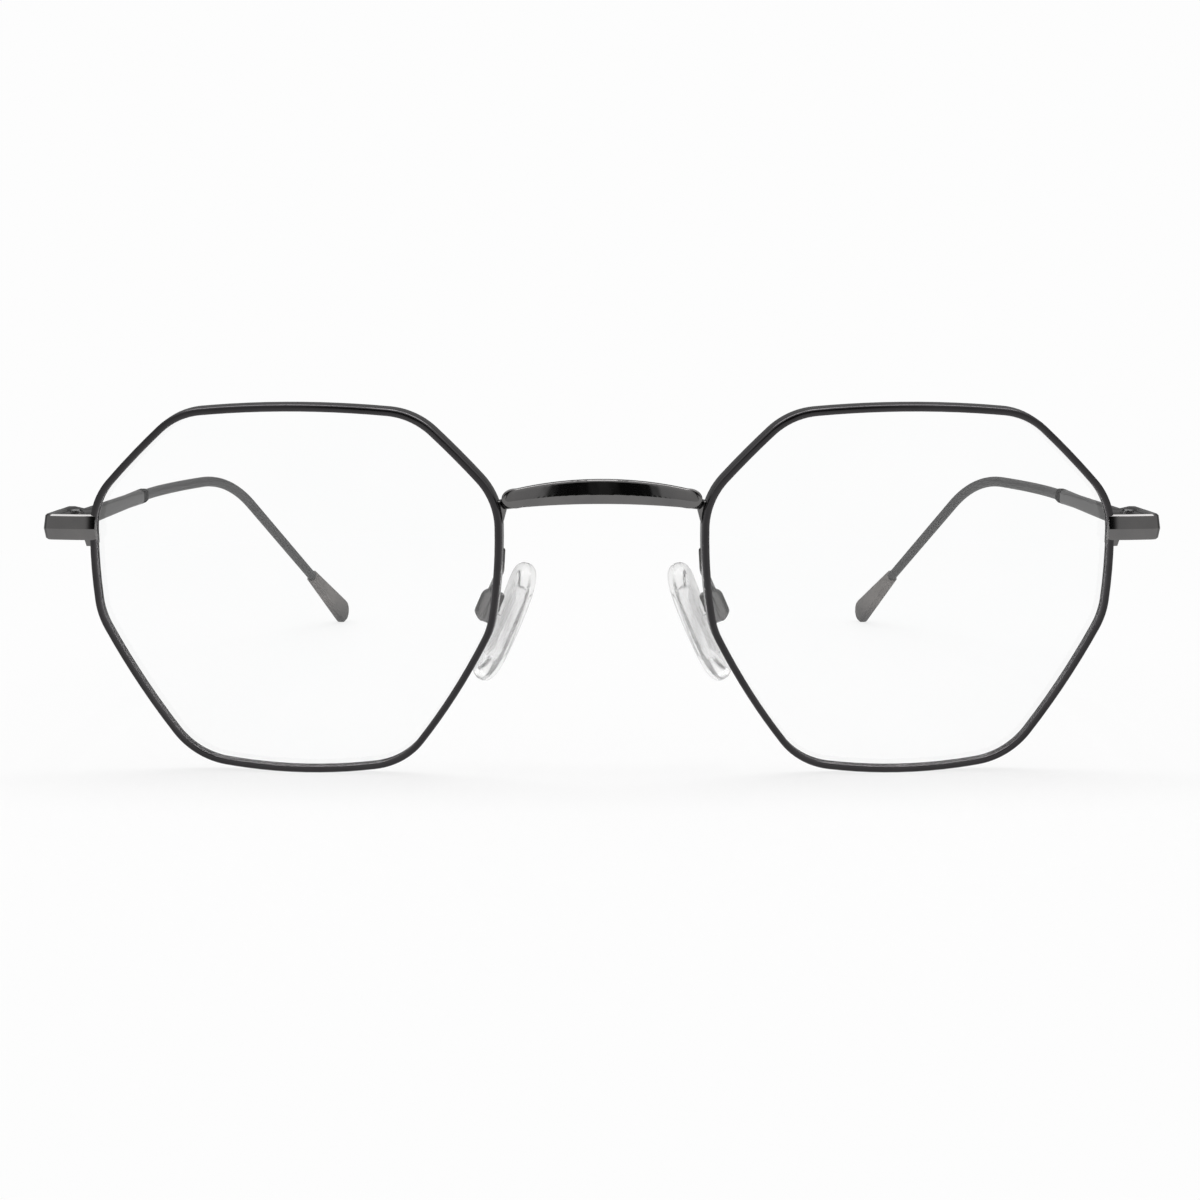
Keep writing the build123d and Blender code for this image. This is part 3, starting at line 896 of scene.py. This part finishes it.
def make_pieces():
    for side in SIDES:
        for kind, width in BROKEN_EDGES.items():
            make_tumbled(f"{kind}_{side}", width)
        make_rim(side)
        make_endpiece(side)
    make_bridge()
    made = {
        "temple_sleeve": make_sleeve(),
        "pad_arm": make_arm_wire(),
        "pad_box": make_pad_cup(),
        "nose_pad": make_pad(),
    }
    for kind, screw in SCREWS.items():
        made[kind] = make_screw(*screw)
    for kind, piece in made.items():
        other = mirrored(piece, piece.name.replace("left", "right"))
        smooth(other, ALL_ROUND if kind == "nose_pad" else 40)
        stand_for(piece, kind + "_left")
        stand_for(other, kind + "_right")


# Floor, world, lamps and camera

# Rays that a surface mirrors, and none that passed through glass
def reflected_only(tree, path):
    kept = add_math(tree, "SUBTRACT", 1.0, path.outputs["Is Transmission Ray"])
    return add_math(tree, "MULTIPLY", path.outputs["Is Glossy Ray"], kept)


# Rays from the lens, straight or through glass
def seen_through(tree, path):
    return add_math(
        tree, "MAXIMUM", path.outputs["Is Camera Ray"], path.outputs["Is Transmission Ray"]
    )


def mix_shaders(tree, share, first, second):
    mix = add_node(tree, "ShaderNodeMixShader")
    link(tree, share, mix.inputs["Fac"])
    link(tree, first.outputs[0], mix.inputs[1])
    link(tree, second.outputs[0], mix.inputs[2])
    return mix


# Diffusing where the part stands on it, and glowing white to the lens, to metal and through glass
def make_floor():
    deselect_all()
    bpy.ops.mesh.primitive_plane_add(size=FLOOR_SIZE, location=(0, 0, 0))
    floor = bpy.context.object
    floor.name = "pale_floor"
    material, tree = new_material("pale_floor")
    surface = principled(
        tree, Roughness=FLOOR_ROUGHNESS, Base_Color=(*grey(FLOOR_COLOUR), 1),
    )
    place = add_node(tree, "ShaderNodeTexCoord")
    distance = add_node(tree, "ShaderNodeVectorMath", operation="LENGTH")
    link(tree, place.outputs["Object"], distance.inputs[0])
    path = add_node(tree, "ShaderNodeLightPath")
    glossy = reflected_only(tree, path)
    mirrored_level = slide(tree, split_place(tree)["Y"], *MIRROR_FALL, MIRROR_FLOOR, FLOOR_BEHIND)
    glow = add_node(tree, "ShaderNodeEmission")
    link(tree, choose(tree, glossy, mirrored_level, WHITE), glow.inputs["Strength"])
    near_share = slide(
        tree, distance.outputs["Value"], SHADOW_REACH, 2 * SHADOW_REACH, NEAR_GLOW, 1.0
    )
    seen_share = add_math(tree, "MULTIPLY", seen_through(tree, path), near_share)
    share = add_math(tree, "MAXIMUM", seen_share, glossy)
    show(tree, mix_shaders(tree, share, surface, glow))
    floor.data.materials.append(material)


# White to the lens and through glass. Metal mirrors a bright room, with a dark patch on the
# camera's side and a dim wall on the far side.
def make_world():
    world = bpy.data.worlds.new("studio")
    bpy.context.scene.world = world
    world.use_nodes = True
    tree = world.node_tree
    tree.nodes.clear()
    white = add_node(tree, "ShaderNodeBackground")
    room = add_node(tree, "ShaderNodeBackground")
    for background in (white, room):
        background.inputs["Color"].default_value = (1, 1, 1, 1)
    white.inputs["Strength"].default_value = WHITE
    heading = split_place(tree, "Generated")
    sideways = add_math(tree, "ABSOLUTE", heading["X"], 0.0)
    beside = slide(tree, sideways, *PATCH_SIDE_EDGE)
    above = slide(tree, heading["Z"], *PATCH_TOP_EDGE)
    beyond = slide(tree, heading["Y"], *PATCH_FAR_EDGE)
    off_patch = add_math(tree, "MAXIMUM", add_math(tree, "MAXIMUM", beside, above), beyond)
    patch = slide(tree, sideways, *PATCH_MIDDLE_EDGE, PATCH_MIDDLE, PATCH)
    walls = add_math(
        tree, "MAXIMUM",
        slide(tree, heading["Y"], *BACK_WALL_SIDE, BACK_WALL, ROOM),
        slide(tree, heading["Z"], *BACK_WALL_TOP, BACK_WALL, ROOM),
    )
    lit = add_math(
        tree, "MULTIPLY", walls, slide(tree, heading["Z"], *LOW_ROOM_TOP, LOW_ROOM, 1.0)
    )
    path = add_node(tree, "ShaderNodeLightPath")
    mirrored_room = choose(tree, off_patch, lit, patch)
    level = choose(tree, reflected_only(tree, path), mirrored_room, ROOM_LIGHT)
    link(tree, level, room.inputs["Strength"])
    mix = mix_shaders(tree, seen_through(tree, path), room, white)
    show(tree, mix, "ShaderNodeOutputWorld")


def place_in_scene(name, data, location, rotation):
    holder = bpy.data.objects.new(name, data)
    bpy.context.scene.collection.objects.link(holder)
    holder.location = location
    holder.rotation_euler = rotation
    return holder


def make_softboxes():
    for number, (across, height, width, length, watts) in enumerate(SOFTBOXES):
        lamp = bpy.data.lights.new(f"softbox_{number}", "AREA")
        lamp.shape = "RECTANGLE"
        lamp.size = width
        lamp.size_y = length
        lamp.energy = watts
        lean = math.atan2(across, height)
        place_in_scene(f"softbox_{number}", lamp, (across, SOFTBOX_BACK, height), (0, lean, 0))


def make_camera():
    data = bpy.data.cameras.new("photo_camera")
    data.lens = FOCAL_LENGTH
    data.sensor_width = SENSOR_WIDTH
    data.shift_x = PRINCIPAL_OFFSET / PICTURE_WIDTH
    data.clip_start = NEAREST_SEEN
    data.clip_end = FURTHEST_SEEN
    bpy.context.scene.camera = place_in_scene(
        "photo_camera", data,
        (0, -CAMERA_DISTANCE, CAMERA_HEIGHT), (math.radians(90 - CAMERA_PITCH), 0, 0),
    )


dress_cad_nodes()
make_pieces()
make_floor()
make_world()
make_softboxes()
make_camera()
bpy.context.scene.view_settings.view_transform = "Standard"
